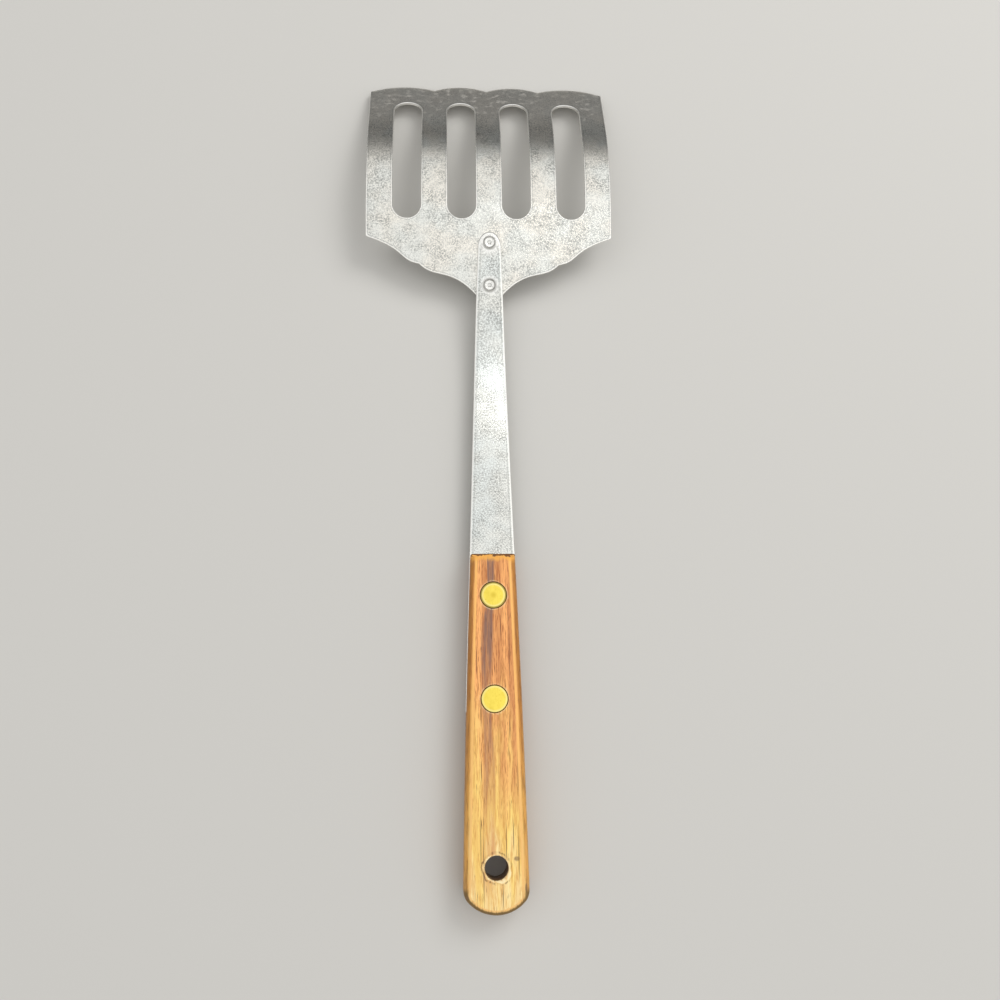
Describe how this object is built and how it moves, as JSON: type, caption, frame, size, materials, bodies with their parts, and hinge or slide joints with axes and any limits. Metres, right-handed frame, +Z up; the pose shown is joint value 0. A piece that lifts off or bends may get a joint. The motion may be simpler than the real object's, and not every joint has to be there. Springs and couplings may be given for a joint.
{
  "type": "slotted spatula",
  "caption": "Slotted spatula: a bent, scalloped sheet-steel blade riveted under a tapered flat shank whose half tang is pinned in a one-piece wooden handle with a hang hole.",
  "frame": {"origin": "on the plane that the spatula lies on, midway along its length and on its centre line", "axes": "+Y from the handle's butt to the blade's front edge, +Z up from the plane that the spatula lies on, +X across the blade"},
  "size_m": [0.082, 0.276, 0.0145],
  "materials": {
    "blade_steel": "tumbled satin stainless sheet with deburred edges",
    "shank_steel": "tumbled satin stainless strip with rounded edges",
    "rivet_steel": "tumbled steel rivet with a dished head",
    "handle_wood": "oiled straight-grained hardwood with rounded edges",
    "rivet_brass": "brass ground flush with the wood"
  },
  "bodies": {
    "root": {"blade": "blade_steel", "shank": "shank_steel", "handle": "handle_wood", "blade_rivet_front": "rivet_steel", "blade_rivet_rear": "rivet_steel", "handle_rivet_front_socket": "rivet_brass", "handle_rivet_front_post": "rivet_brass", "handle_rivet_rear_socket": "rivet_brass", "handle_rivet_rear_post": "rivet_brass"}
  },
  "joints": []
}
